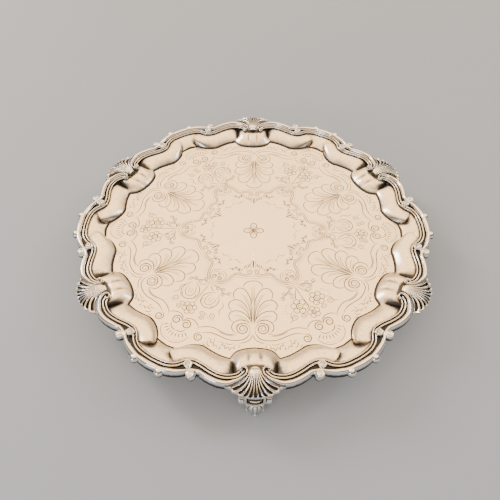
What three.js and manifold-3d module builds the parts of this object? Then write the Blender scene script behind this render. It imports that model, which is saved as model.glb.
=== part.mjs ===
// A footed silver salver: a raised round sheet whose rim is dished into lobes, a cast border of
// six shells, twelve S-scrolls and six arches laid on that rim, and three cast feet under it.
// Millimetres, +Z up, origin on the table under the middle of the salver.
import * as THREE from 'three';
import { mergeVertices } from 'three/addons/utils/BufferGeometryUtils.js';
import Module from 'manifold-3d';

const manifold = await Module();
manifold.setup();

// Driving dimensions.
const SHELL_TIP_RADIUS = 153.5; // middle of the salver to the middle tip of a shell
const PLATE_TOP = 24.5; // height of the flat centre above the table
const SHEET = 1.5; // thickness of the plate's sheet
const LEDGE_RISE = 6; // the sheet's outer ledge above the flat centre
const LEDGE_WIDTH = 5.2; // how far the ledge reaches under the border castings
const BAND_RISE = 9.3; // top of the border's broad band above the flat centre
const JOINT_GAP = 0.3; // solder line between neighbouring pieces
const SECTORS = 6; // the border repeats six times
const FEET = 3; // one foot under every other shell
const SECTOR_ANGLE = 360 / SECTORS;
const HALF_SECTOR = SECTOR_ANGLE / 2;
const MERGE_DISTANCE = 1e-4; // points nearer than this are one point

const SILVER = { color: 0xd8cbb9, roughness: 0.24, metalness: 1 };
const CAST_SILVER = { color: 0xcabdab, roughness: 0.28, metalness: 1 };

// Lines of the rim as [degrees from the nearest shell's axis, radius in mm], mirrored at every
// shell axis and every arch axis. The cusps split the inner line into three smooth stretches.
const INNER_LINE = [
  [[0, 113], [4, 114.2], [7, 117.4], [8.5, 122.6]],
  [[8.5, 122.6], [12, 121.3], [15.2, 119.3], [18.8, 117.4], [22.5, 119.6], [25, 123.6], [26.1, 126.9]],
  [[26.1, 126.9], [30, 127.8]],
];
const BORDER_LINE = [
  [[0, 129.6], [2.4, 130.2], [4, 132.6], [5.4, 136], [8, 137.7], [10, 137.6], [12.5, 136],
    [16.5, 132.8], [19.3, 132.3], [21.2, 134.4], [23, 138.3], [25.5, 140.8], [30, 141.6]],
];
const PLATE_COLUMNS = [0, 2.4, 4.4, 6, 7.4, 8.5, 11, 14, 16.8, 19.4, 21.6, 23.6, 25.1, 26.1, 28];
// The sheet's rings: 0 on the inner line, 1 on the border line, 2 on the ledge's outer edge.
const TOP_RINGS = [0, 0.3, 0.65, 1, 2];
const LOWER_RINGS = [2, 1, 0.45, 0];
const BORDER_LAP = 0.6; // how far the ledge starts inside the border line

// Border castings, as [distance outside the border line, height above the flat centre].
const UNDERSIDE = LEDGE_RISE + JOINT_GAP;
const REEDS_WIDTH = 3.9;
const REED_PROFILE = [
  [0, UNDERSIDE], [0.1, 7.6], [1.2, 6.9], [2.6, 8.1], [REEDS_WIDTH, 7.4], [REEDS_WIDTH, UNDERSIDE],
];
const BAND_PROFILE = [
  [REEDS_WIDTH, UNDERSIDE], [REEDS_WIDTH, 7.4], [5.2, 9.2], [6.8, BAND_RISE], [8.4, 7.2], [8.7, 3.5],
  [7.5, 3.2], [LEDGE_WIDTH + 0.5, UNDERSIDE],
];
// Places along the border, in degrees from the shell's axis. The band is shorter than the reeds.
const ARM_PLACES = [4.7, 6, 7.6, 9.6, 12, 14, 15.8, 17.1, 18.1];
const ARCH_PLACES = [18.6, 19.5, 20.8, 22.2, 23.8, 26.2, 30];
const BAND_SWING = { from: 14, over: 3, by: 2.4 }; // the arm's band leaves the reeds for its curl
const OUTER_CURL = { angle: 17.7, radius: 143.5, size: 3.4, height: 6.3 };
const INNER_CURL = { angle: 19.6, radius: 137.7, size: 3, top: 9.8 };
const HOOK = { across: 7.6, out: 134.6, size: 2.9, top: 9.6 };
const ARCH_BEAD = { angle: 26.2, radius: 150.2, size: 2.9, height: 6.4 };
const VOLUTE_TAPER = 0.82; // a volute's top radius as a share of its foot's
const VOLUTE_ROOM = 1.4; // clearance round an arch's volute, where the arm stops
const VOLUTE_SIDES = 12;
const BEAD_SIDES = 10;
const BEAD_RINGS = 6;

// Shells.
const SHELL_RIBS = 10;
const SHELL_ROOT_RADIUS = 131.6;
const SHELL_ROOT_HALF_WIDTH = 2.8;
const SHELL_HALF_WIDTH = 20.5;
const SHELL_SIDE_DROP = 7.6; // how much nearer the middle the side tips end
const SHELL_TOP = 10.4;
const SHELL_DROOP = 4.4; // the edge hangs this much below the root
const FLUTE_DEPTH = 1.3;
const SHELL_THICKNESS = 2.2;
const SHELL_STEPS = 5; // rows of points from root to edge
const SIDE_DROP_POWER = 2.3;
const DROOP_POWER = 2.2;
const FLUTE_SETBACK = 0.05; // a flute's end stands back by this share of its length
const FLUTE_START = 0.15; // a flute's phase at the root, and how much it gains by the edge
const FLUTE_GAIN = 0.8;
// A rib's two handles: how far out the first is, how wide each is, how near the tip the second is.
const RIB_HANDLES = { rise: 0.7, rootSpread: 1.6, tipSpread: 0.56, tipBack: 1.2 };
const ROOM_STEPS = 10;
const ROOM_BEYOND = 8; // the room cut for a shell runs this far past its tip
const ROOM_BESIDE = 1;

// Feet: a bracket with a scrolled ear each side, a collar, and a gripped ball.
const FOOT_WEB_WIDTH = 14;
const FOOT_SIDE_VIEW = [
  [131.5, 4.1], [139.6, 4.1], [141, 2.4], [146.4, 1.4], [148.2, -4], [148.6, -9.5], [150.8, -10.6],
  [150.8, -13], [147, -14.5], [143, -14.5], [139.6, -8], [134, -1.5],
];
const EAR = { radius: 4.3, width: 4, across: 9, out: 144.5, height: -6.5, sides: 20 };
const BALL = { size: 6.4, out: 146.9, height: 5.7 - PLATE_TOP, sides: 16, rings: 12 };
const PAD = { radius: 3.6, thickness: 1.2, sides: 16 };
const CUTTER = { width: 40, depth: 10 }; // what is cut off below the table

const degrees = THREE.MathUtils.degToRad;

// A point at an angle from the front axis (-Y), a radius and a height above the flat centre.
function polar(angle, radius, rise) {
  const turn = degrees(angle);
  return new THREE.Vector3(radius * Math.sin(turn), -radius * Math.cos(turn), PLATE_TOP + rise);
}

function radiusOnLine(line, angle) {
  const turned = ((angle + HALF_SECTOR) % SECTOR_ANGLE + SECTOR_ANGLE) % SECTOR_ANGLE;
  const inSector = Math.abs(turned - HALF_SECTOR);
  const stretch = line.find((points) => inSector <= points[points.length - 1][0]) ?? line[line.length - 1];
  const last = stretch.length - 1;
  let i = 0;
  while (i < last - 1 && inSector > stretch[i + 1][0]) {
    i += 1;
  }
  const slope = (j) => {
    const before = stretch[Math.max(j - 1, 0)];
    const after = stretch[Math.min(j + 1, last)];
    return (after[1] - before[1]) / (after[0] - before[0]);
  };
  const span = stretch[i + 1][0] - stretch[i][0];
  const t = (inSector - stretch[i][0]) / span;
  const blend = t * t * (3 - 2 * t);
  const lean = t * (1 - t) * ((1 - t) * slope(i) - t * slope(i + 1)) * span;
  return stretch[i][1] * (1 - blend) + stretch[i + 1][1] * blend + lean;
}

// The unit vector pointing outwards, square to the border line.
function outward(angle) {
  const step = 0.25;
  const before = polar(angle - step, radiusOnLine(BORDER_LINE, angle - step), 0);
  const after = polar(angle + step, radiusOnLine(BORDER_LINE, angle + step), 0);
  const along = after.sub(before).normalize();
  return new THREE.Vector3(along.y, -along.x, 0);
}

function steps(from, to, count) {
  return Array.from({ length: count + 1 }, (_, i) => from + ((to - from) * i) / count);
}

function indexed(points, triangles) {
  const geometry = new THREE.BufferGeometry();
  const coordinates = points.flatMap((p) => [p.x, p.y, p.z]);
  geometry.setAttribute('position', new THREE.Float32BufferAttribute(coordinates, 3));
  geometry.setIndex(triangles);
  return geometry;
}

// Joins rings of equal length into a tube; each ring turns the same way round.
function ringTriangles(ringCount, ringLength, first = 0) {
  const triangles = [];
  for (let r = 0; r < ringCount - 1; r += 1) {
    for (let i = 0; i < ringLength; i += 1) {
      const a = first + r * ringLength + i;
      const b = first + r * ringLength + ((i + 1) % ringLength);
      triangles.push(a, b, b + ringLength, a, b + ringLength, a + ringLength);
    }
  }
  return triangles;
}

function toSolid(geometry) {
  const bare = geometry.clone();
  bare.deleteAttribute('normal');
  bare.deleteAttribute('uv');
  const merged = mergeVertices(bare, MERGE_DISTANCE);
  return new manifold.Manifold(new manifold.Mesh({
    numProp: 3,
    vertProperties: merged.attributes.position.array,
    triVerts: new Uint32Array(merged.index.array),
  }));
}

function toGeometry(solid) {
  const mesh = solid.getMesh();
  const geometry = new THREE.BufferGeometry();
  geometry.setAttribute('position', new THREE.BufferAttribute(mesh.vertProperties, 3));
  geometry.setIndex(new THREE.BufferAttribute(mesh.triVerts, 1));
  return geometry;
}

function mirrored(geometry) {
  const twin = geometry.clone().scale(-1, 1, 1);
  const corners = Array.from(twin.index.array);
  for (let i = 0; i < corners.length; i += 3) {
    [corners[i + 1], corners[i + 2]] = [corners[i + 2], corners[i + 1]];
  }
  twin.setIndex(corners);
  return twin;
}

// A moulding laid along the border line between two angles, with flat ends.
function moulding(profile, angles, shift = () => 0) {
  const points = [];
  for (const angle of angles) {
    const foot = polar(angle, radiusOnLine(BORDER_LINE, angle), 0);
    const out = outward(angle);
    for (const [distance, rise] of profile) {
      const swing = distance > REEDS_WIDTH ? shift(angle) : 0;
      const point = foot.clone().addScaledVector(out, distance + swing);
      points.push(point.setZ(PLATE_TOP + rise));
    }
  }
  const count = profile.length;
  const triangles = ringTriangles(angles.length, count);
  const outline = profile.map(([x, y]) => new THREE.Vector2(x, y));
  const lastRing = (angles.length - 1) * count;
  for (const [a, b, c] of THREE.ShapeUtils.triangulateShape(outline, [])) {
    const turnsWithOutline = THREE.ShapeUtils.area([outline[a], outline[b], outline[c]]) < 0;
    const [p, q] = turnsWithOutline ? [b, c] : [c, b];
    triangles.push(a, q, p, lastRing + a, lastRing + p, lastRing + q);
  }
  return toSolid(indexed(points, triangles));
}

function disc(centre, size, bottom, top) {
  const geometry = new THREE.CylinderGeometry(size * VOLUTE_TAPER, size, top - bottom, VOLUTE_SIDES);
  geometry.rotateX(Math.PI / 2);
  geometry.translate(centre.x, centre.y, PLATE_TOP + (top + bottom) / 2);
  return toSolid(geometry);
}

function bead(centre, size) {
  const geometry = new THREE.SphereGeometry(size, BEAD_SIDES, BEAD_RINGS);
  geometry.rotateX(Math.PI / 2);
  geometry.translate(centre.x, centre.y, centre.z);
  return toSolid(geometry);
}

// The plate: one sheet, flat in the middle, rising through the lobed panels to a level ledge.
function plateGeometry() {
  const columns = [];
  for (let sector = 0; sector < SECTORS; sector += 1) {
    const axis = sector * SECTOR_ANGLE;
    columns.push(...PLATE_COLUMNS.map((angle) => axis + angle));
    columns.push(axis + HALF_SECTOR);
    columns.push(...PLATE_COLUMNS.slice(1).reverse().map((angle) => axis + SECTOR_ANGLE - angle));
  }
  const ring = (share, drop) => columns.map((angle) => {
    const inner = radiusOnLine(INNER_LINE, angle);
    const border = radiusOnLine(BORDER_LINE, angle) - BORDER_LAP;
    const rise = LEDGE_RISE * Math.sin((Math.min(share, 1) * Math.PI) / 2);
    const radius = inner + (border - inner) * Math.min(share, 1) + Math.max(share - 1, 0) * LEDGE_WIDTH;
    return polar(angle, radius, rise - drop);
  });
  const rings = [
    ...TOP_RINGS.map((share) => ring(share, 0)),
    ...LOWER_RINGS.map((share) => ring(share, SHEET)),
  ];
  const points = rings.flat();
  const count = columns.length;
  const top = points.length;
  points.push(polar(0, 0, 0), polar(0, 0, -SHEET));
  const triangles = ringTriangles(rings.length, count).reverse();
  const lastRing = (rings.length - 1) * count;
  for (let i = 0; i < count; i += 1) {
    const next = (i + 1) % count;
    triangles.push(top, i, next, top + 1, lastRing + next, lastRing + i);
  }
  return indexed(points, triangles);
}

// The line of one rib, from the shell's root to its tip. across runs from -1 to 1.
function ribCurve(across) {
  const root = SHELL_ROOT_HALF_WIDTH * across;
  const tip = SHELL_HALF_WIDTH * across;
  const end = SHELL_TIP_RADIUS - SHELL_SIDE_DROP * Math.abs(across) ** SIDE_DROP_POWER;
  const length = end - SHELL_ROOT_RADIUS;
  const { rise, rootSpread, tipSpread, tipBack } = RIB_HANDLES;
  return new THREE.CubicBezierCurve3(
    new THREE.Vector3(root, -SHELL_ROOT_RADIUS, 0),
    new THREE.Vector3(root * rootSpread, -SHELL_ROOT_RADIUS - length * rise, 0),
    new THREE.Vector3(tip * tipSpread, -end + tipBack, 0),
    new THREE.Vector3(tip, -end, 0),
  );
}

// A shell: ribs and flutes fan out from a narrow root to a scalloped, drooping edge.
function shellGeometry() {
  const across = steps(-1, 1, (SHELL_RIBS - 1) * 2);
  const along = steps(0, 1, SHELL_STEPS);
  const points = [];
  for (const drop of [0, SHELL_THICKNESS]) {
    across.forEach((side, i) => {
      const inFlute = i % 2;
      for (const share of along) {
        const point = ribCurve(side).getPoint(share * (1 - FLUTE_SETBACK * inFlute));
        const droop = SHELL_DROOP * share ** DROOP_POWER;
        const phase = Math.min(1, FLUTE_START + share * FLUTE_GAIN);
        const flute = inFlute * FLUTE_DEPTH * Math.sin(Math.PI * phase);
        const cut = drop === 0 ? flute : 0;
        points.push(point.setZ(PLATE_TOP + SHELL_TOP - droop - cut - drop));
      }
    });
  }
  const rows = across.length;
  const cols = along.length;
  const lower = rows * cols;
  const triangles = [];
  for (let i = 0; i < rows - 1; i += 1) {
    for (let j = 0; j < cols - 1; j += 1) {
      const a = i * cols + j;
      const [b, c, d] = [a + cols, a + cols + 1, a + 1];
      triangles.push(a, c, b, a, d, c, lower + a, lower + b, lower + c, lower + a, lower + c, lower + d);
    }
  }
  const rim = [
    ...steps(0, rows - 1, rows - 1).map((i) => i * cols),
    ...steps(1, cols - 1, cols - 2).map((j) => (rows - 1) * cols + j),
    ...steps(rows - 2, 0, rows - 2).map((i) => i * cols + cols - 1),
    ...steps(cols - 2, 1, cols - 3),
  ];
  rim.forEach((a, i) => {
    const b = rim[(i + 1) % rim.length];
    triangles.push(a, b, lower + b, a, lower + b, lower + a);
  });
  return indexed(points, triangles);
}

// The room that a shell takes out of the scrolls beside it, with the solder gap round it.
function shellRoom() {
  const outline = new THREE.Shape();
  const side = steps(0, 1, ROOM_STEPS).map((share) => ribCurve(1).getPoint(share));
  const spread = side.map((p) => new THREE.Vector2(p.x + JOINT_GAP, p.y + JOINT_GAP));
  const beyond = SHELL_TIP_RADIUS + ROOM_BEYOND;
  const right = [...spread, new THREE.Vector2(SHELL_HALF_WIDTH + ROOM_BESIDE, -beyond)];
  outline.setFromPoints([...right, ...right.toReversed().map((p) => new THREE.Vector2(-p.x, p.y))]);
  const room = new THREE.ExtrudeGeometry(outline, { depth: PLATE_TOP * 2, bevelEnabled: false });
  return toSolid(room);
}

// An S-scroll on the right of a shell: a hook beside the shell's root, a reeded arm, a curl.
function armGeometry() {
  const reeds = moulding(REED_PROFILE, ARM_PLACES);
  const swing = (angle) => BAND_SWING.by * Math.max(0, (angle - BAND_SWING.from) / BAND_SWING.over) ** 2;
  const band = moulding(BAND_PROFILE, ARM_PLACES.slice(1, -1), swing);
  const curl = bead(polar(OUTER_CURL.angle, OUTER_CURL.radius, OUTER_CURL.height), OUTER_CURL.size);
  const hookCentre = new THREE.Vector3(HOOK.across, -HOOK.out, 0);
  const hook = disc(hookCentre, HOOK.size, UNDERSIDE, HOOK.top);
  const innerCurl = polar(INNER_CURL.angle, INNER_CURL.radius, 0);
  const curlRoom = disc(innerCurl, INNER_CURL.size + VOLUTE_ROOM, 0, PLATE_TOP);
  return toGeometry(reeds.add(band).add(curl).add(hook).subtract(shellRoom()).subtract(curlRoom));
}

// An arch between two S-scrolls: a reeded C-scroll with a volute at each end and two beads.
function archGeometry() {
  const end = SECTOR_ANGLE;
  const places = [...ARCH_PLACES, ...ARCH_PLACES.slice(0, -1).reverse().map((angle) => end - angle)];
  let arch = moulding(REED_PROFILE, places);
  arch = arch.add(moulding(BAND_PROFILE, places.slice(1, -1)));
  for (const place of [INNER_CURL.angle, end - INNER_CURL.angle]) {
    arch = arch.add(disc(polar(place, INNER_CURL.radius, 0), INNER_CURL.size, UNDERSIDE, INNER_CURL.top));
  }
  for (const place of [ARCH_BEAD.angle, end - ARCH_BEAD.angle]) {
    arch = arch.add(bead(polar(place, ARCH_BEAD.radius, ARCH_BEAD.height), ARCH_BEAD.size));
  }
  for (const place of [OUTER_CURL.angle, end - OUTER_CURL.angle]) {
    const curl = polar(place, OUTER_CURL.radius, OUTER_CURL.height);
    arch = arch.subtract(bead(curl, OUTER_CURL.size + JOINT_GAP));
  }
  return toGeometry(arch);
}

// A foot under a shell: its bracket meets the underside of the ledge, its ball stands on the table.
function footGeometry() {
  const side = new THREE.Shape(FOOT_SIDE_VIEW.map(([out, rise]) => new THREE.Vector2(out, rise)));
  const web = new THREE.ExtrudeGeometry(side, { depth: FOOT_WEB_WIDTH, bevelEnabled: false });
  web.translate(0, 0, -FOOT_WEB_WIDTH / 2);
  web.applyMatrix4(new THREE.Matrix4().makeBasis(
    new THREE.Vector3(0, -1, 0), new THREE.Vector3(0, 0, 1), new THREE.Vector3(-1, 0, 0)));
  web.translate(0, 0, PLATE_TOP);
  let foot = toSolid(web);
  for (const direction of [-1, 1]) {
    const ear = new THREE.CylinderGeometry(EAR.radius, EAR.radius, EAR.width, EAR.sides);
    ear.rotateZ(Math.PI / 2);
    ear.translate(direction * EAR.across, -EAR.out, PLATE_TOP + EAR.height);
    foot = foot.add(toSolid(ear));
  }
  const ball = new THREE.SphereGeometry(BALL.size, BALL.sides, BALL.rings);
  ball.rotateX(Math.PI / 2);
  ball.translate(0, -BALL.out, PLATE_TOP + BALL.height);
  const pad = new THREE.CylinderGeometry(PAD.radius, PAD.radius, PAD.thickness, PAD.sides);
  pad.rotateX(Math.PI / 2);
  pad.translate(0, -BALL.out, PAD.thickness / 2);
  const belowTable = new THREE.BoxGeometry(CUTTER.width, CUTTER.width, CUTTER.depth);
  belowTable.translate(0, -BALL.out, -CUTTER.depth / 2);
  return toGeometry(foot.add(toSolid(ball)).add(toSolid(pad)).subtract(toSolid(belowTable)));
}

function piece(name, geometry, finish, turn = 0) {
  const mesh = new THREE.Mesh(geometry, new THREE.MeshStandardMaterial(finish));
  mesh.name = name;
  mesh.rotation.z = degrees(turn);
  return mesh;
}

const salver = new THREE.Group();
salver.add(piece('plate', plateGeometry(), SILVER));

const shell = shellGeometry();
const rightScroll = armGeometry();
const leftScroll = mirrored(rightScroll);
const arch = archGeometry();
for (let sector = 0; sector < SECTORS; sector += 1) {
  const number = sector + 1;
  const turn = sector * SECTOR_ANGLE;
  salver.add(piece(`shell_${number}`, shell, CAST_SILVER, turn));
  salver.add(piece(`scroll_right_${number}`, rightScroll, CAST_SILVER, turn));
  salver.add(piece(`scroll_left_${number}`, leftScroll, CAST_SILVER, turn));
  salver.add(piece(`arch_${number}`, arch, CAST_SILVER, turn));
}

const foot = footGeometry();
for (let i = 0; i < FEET; i += 1) {
  salver.add(piece(`foot_${i + 1}`, foot, CAST_SILVER, (i * 360) / FEET));
}

export default salver;
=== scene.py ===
# A silver salver: engraved plate, lobed rim, cast border of shells, S-scrolls and arches, three feet.
# Lengths are in millimetres until a mesh is made. Points in the plane are (x, out): x runs to the
# right of a shell's (or an arch's) axis and out runs from the salver's middle along that axis.
import math

import bpy
import numpy as np
from mathutils import Matrix, Vector
from mathutils.geometry import delaunay_2d_cdt
from mathutils.kdtree import KDTree

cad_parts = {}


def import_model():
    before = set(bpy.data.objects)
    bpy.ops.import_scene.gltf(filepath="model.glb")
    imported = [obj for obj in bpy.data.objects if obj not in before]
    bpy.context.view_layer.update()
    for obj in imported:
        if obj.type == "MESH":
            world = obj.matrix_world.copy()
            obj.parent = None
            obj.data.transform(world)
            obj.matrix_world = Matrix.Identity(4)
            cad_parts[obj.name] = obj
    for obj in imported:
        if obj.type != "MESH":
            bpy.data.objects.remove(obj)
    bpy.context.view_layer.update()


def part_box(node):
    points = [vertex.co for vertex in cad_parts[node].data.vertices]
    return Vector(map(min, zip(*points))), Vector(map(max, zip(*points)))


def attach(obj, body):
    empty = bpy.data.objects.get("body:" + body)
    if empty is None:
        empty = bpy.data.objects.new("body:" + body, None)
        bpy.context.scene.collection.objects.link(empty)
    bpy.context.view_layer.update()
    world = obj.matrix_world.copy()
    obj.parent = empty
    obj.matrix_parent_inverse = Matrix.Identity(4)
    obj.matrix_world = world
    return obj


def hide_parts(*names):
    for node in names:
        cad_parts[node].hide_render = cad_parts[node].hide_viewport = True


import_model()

MM = 0.001
SECTORS = 6
SECTOR_ANGLE = 360 / SECTORS
HALF_SECTOR = SECTOR_ANGLE / 2
FEET = 3
SHEET = 1.5
PLATE_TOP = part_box("plate")[0].z / MM + SHEET
TIP_RADIUS = -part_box("shell_1")[0].y / MM
LEDGE_RISE = 6.0
LEDGE_WIDTH = 5.2
SEAT = 6.12  # the castings' undersides lie this high above the flat centre, on the ledge
SKIRT = 3.4  # the broad band's outer side hangs down to here
BAND_OFFSET = 6.7  # from the border line to the middle of the broad band

# The same rim lines as the CAD source: [degrees from the shell's axis, radius].
INNER_LINE = [
    [(0, 113), (4, 114.2), (7, 117.4), (8.5, 122.6)],
    [(8.5, 122.6), (12, 121.3), (15.2, 119.3), (18.8, 117.4), (22.5, 119.6), (25, 123.6), (26.1, 126.9)],
    [(26.1, 126.9), (30, 127.8)],
]
BORDER_LINE = [
    [(0, 129.6), (2.4, 130.2), (4, 132.6), (5.4, 136), (8, 137.7), (10, 137.6), (12.5, 136),
     (16.5, 132.8), (19.3, 132.3), (21.2, 134.4), (23, 138.3), (25.5, 140.8), (30, 141.6)],
]
CUSHION_EDGE = 8.5  # degrees: the crease between a shell's cushion and the long panel
PANEL_EDGE = 26.1  # degrees: the crease between the long panel and the arch's panel


# ---------------------------------------------------------------- plane geometry
def smoothstep(x):
    x = np.clip(x, 0, 1)
    return x * x * (3 - 2 * x)


def radius_on(line, angle):
    """Radius of a rim line at an angle, by cubic pieces through the line's points."""
    within = abs((angle + HALF_SECTOR) % SECTOR_ANGLE - HALF_SECTOR)
    stretch = next(s for s in line if within <= s[-1][0] + 1e-9)
    last = len(stretch) - 1
    i = 0
    while i < last - 1 and within > stretch[i + 1][0]:
        i += 1

    def slope(j):
        before, after = stretch[max(j - 1, 0)], stretch[min(j + 1, last)]
        return (after[1] - before[1]) / (after[0] - before[0])

    span = stretch[i + 1][0] - stretch[i][0]
    t = (within - stretch[i][0]) / span
    blend = t * t * (3 - 2 * t)
    lean = t * (1 - t) * ((1 - t) * slope(i) - t * slope(i + 1)) * span
    return stretch[i][1] * (1 - blend) + stretch[i + 1][1] * blend + lean


def polar(angle, radius):
    turn = math.radians(angle)
    return np.array([radius * math.sin(turn), radius * math.cos(turn)])


def rotated(points, angle):
    """Points turned by an angle, counted from the shell's axis towards +x."""
    c, s = math.cos(math.radians(angle)), math.sin(math.radians(angle))
    p = np.asarray(points, float)
    return np.stack([p[..., 0] * c + p[..., 1] * s, p[..., 1] * c - p[..., 0] * s], -1)


def mirrored(points):
    return np.asarray(points, float) * (-1, 1)


def beside_border(angle, distance):
    """The point this far outside the border line, square to it."""
    step = 0.2
    a = polar(angle - step, radius_on(BORDER_LINE, angle - step))
    b = polar(angle + step, radius_on(BORDER_LINE, angle + step))
    along = (b - a) / np.linalg.norm(b - a)
    return polar(angle, radius_on(BORDER_LINE, angle)) + distance * np.array([-along[1], along[0]])


def through(points, spacing):
    """A smooth open curve through the points, cut into equal steps."""
    p = np.asarray(points, float)
    p = np.vstack([2 * p[0] - p[1], p, 2 * p[-1] - p[-2]])
    t = np.linspace(0, 1, 24, endpoint=False)[:, None]
    rows = []
    for a, b, c, d in zip(p[:-3], p[1:-2], p[2:-1], p[3:]):
        rows.append(0.5 * (2 * b + (c - a) * t + (2 * a - 5 * b + 4 * c - d) * t**2
                           + (3 * b - a - 3 * c + d) * t**3))
    return evenly(np.vstack([*rows, p[-2:-1]]), spacing)


def evenly(line, spacing):
    length = np.concatenate([[0], np.cumsum(np.linalg.norm(np.diff(line, axis=0), axis=1))])
    count = max(2, int(round(length[-1] / spacing)) + 1)
    at = np.linspace(0, length[-1], count)
    return np.stack([np.interp(at, length, line[:, i]) for i in range(line.shape[1])], -1)


def spiral(centre, start_angle, start_radius, end_radius, turns, steps_per_turn=14):
    """Points winding in round a centre. Angles grow from +x towards -out; turns may be negative."""
    count = int(abs(turns) * steps_per_turn) + 1
    share = np.linspace(0, 1, count)
    a = np.radians(start_angle + 360 * turns * share)
    r = start_radius + (end_radius - start_radius) * share
    return np.stack([centre[0] + r * np.cos(a), centre[1] - r * np.sin(a)], -1)


# ---------------------------------------------------------------- meshes
def add_object(name, data):
    made = bpy.data.objects.new(name, data)
    bpy.context.scene.collection.objects.link(made)
    return made


class Skin:
    """Vertices, faces, a share per vertex of dark oxide and painted shade, and a material number per face."""

    def __init__(self):
        self.points, self.faces, self.oxide, self.finish, self.smooth = [], [], [], [], []

    def add(self, points, faces, oxide, finish=0, smooth=True):
        first = len(self.points)
        self.points.extend(map(tuple, points))
        self.faces.extend([first + i for i in f] for f in faces)
        self.oxide.extend(np.broadcast_to(oxide, (len(points),)))
        marks = np.broadcast_to(finish, (len(faces),))
        self.finish.extend(int(m) for m in marks)
        self.smooth.extend([smooth] * len(faces))

    def mesh(self, name, flip=False):
        points = np.array(self.points, float) * MM
        if flip:
            points[:, 0] *= -1
        faces = [f[::-1] for f in self.faces] if flip else self.faces
        mesh = bpy.data.meshes.new(name)
        mesh.from_pydata(points.tolist(), [], faces)
        mesh.polygons.foreach_set("material_index", self.finish)
        mesh.set_sharp_from_angle(angle=math.radians(50))
        mesh.polygons.foreach_set("use_smooth", self.smooth)
        layer = mesh.attributes.new("oxide", "FLOAT", "POINT")
        layer.data.foreach_set("value", np.array(self.oxide, np.float32))
        mesh.validate()
        mesh.update()
        return mesh


def world(plane, rise):
    """(x, out) points and heights above the flat centre as points of the salver's frame."""
    plane = np.asarray(plane, float)
    rise = np.broadcast_to(rise, plane.shape[:-1])
    return np.stack([plane[..., 0], -plane[..., 1], PLATE_TOP + rise], -1)


def placed(points):
    """Points (x, out, rise) as points of the salver's frame."""
    return world(points[:, :2], points[:, 2])


def quads(index):
    """Four-sided faces over a grid of point numbers."""
    a, b, c, d = index[:-1, :-1], index[1:, :-1], index[1:, 1:], index[:-1, 1:]
    return np.stack([a, b, c, d], -1).reshape(-1, 4).tolist()


def around(index):
    """A grid of point numbers whose rows close on themselves."""
    return np.hstack([index, index[:, :1]])


def tube_faces(rings, count):
    """Quads between rings of equal length, and a cap at each end."""
    index = np.arange(rings * count).reshape(rings, count)
    return quads(around(index)) + [index[0].tolist(), index[-1, ::-1].tolist()]


def prism_faces(count):
    """Faces between two copies of an outline, the second of them on top, and a cap at each end."""
    faces = [list(range(count))[::-1], [count + i for i in range(count)]]
    return faces + [[i, (i + 1) % count, count + (i + 1) % count, count + i] for i in range(count)]


def circle_points(centre, radius, sides):
    turns = [2 * math.pi * i / sides for i in range(sides)]
    return [(centre[0] + radius * math.cos(t), centre[1] + radius * math.sin(t)) for t in turns]


def ledge_floor(plane):
    """The lowest that a casting may reach at a point: on the plate's ledge, or past its edge."""
    radius = np.linalg.norm(plane, axis=-1)
    angle = np.degrees(np.arctan2(plane[..., 0], plane[..., 1]))
    flat = angle.ravel()
    border = np.array([radius_on(BORDER_LINE, a) for a in flat]).reshape(angle.shape)
    return np.where(radius < border + LEDGE_WIDTH + 0.6, SEAT, SKIRT - 0.4)


def band_section(samples=11):
    """Section of the broad band: rounded over, with a deep outer side that hides the plate's edge.

    Gives the shares across, the lowest heights, the shares of the rise above them, and the darkening: oxide
    low on the inner side, a painted dark reflection low on the outer side, painted shade on the faces
    beneath.
    """
    inner = np.linspace(0, 1, samples)
    outer = inner[1:]
    quarter = math.pi / 2
    across = np.concatenate([[-1], -np.cos(inner * quarter), np.sin(outer * quarter), [0.72, 0.3]])
    low = np.concatenate([[SEAT], np.full(samples, SEAT + 0.3), np.full(samples - 1, SKIRT),
                          [SKIRT - 0.2, SEAT]])
    high = np.concatenate([[0], np.sin(inner * quarter) ** 0.9, np.cos(outer * quarter) ** 0.75, [0, 0]])
    # darkening: oxide at the inner foot, a painted dark reflection over the lower outer side, painted shade
    # on the faces beneath
    oxide = np.concatenate([[1], np.clip(0.9 - 2.2 * inner, 0, 1),
                            np.clip(2.6 * outer - 1.3, 0, 0.95), [1, 1]])
    return across, low, high, oxide


def band(skin, line, half_width, crest, floor_turn=0.0):
    """The broad band laid along a line, with its half width and crest at each point."""
    along = np.gradient(line, axis=0)
    along /= np.linalg.norm(along, axis=1)[:, None]
    side = np.stack([-along[:, 1], along[:, 0]], -1)
    across, low, high, oxide = band_section()
    plane = line[:, None, :] + side[:, None, :] * (half_width[:, None] * across)[..., None]
    rise = low + (crest[:, None] - low) * high
    floor = ledge_floor(rotated(plane, floor_turn))
    skin.add(world(plane, np.maximum(rise, floor)).reshape(-1, 3),
             tube_faces(len(line), len(across)), np.tile(oxide, len(line)))


LIP = (0.45, 0.6, 7.8)  # distance from the border line, half width, crest
REED = (2.7, 0.72, 8.2)
REEDS_END = 6.4
GROOVE_FLOOR = 6.45


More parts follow.
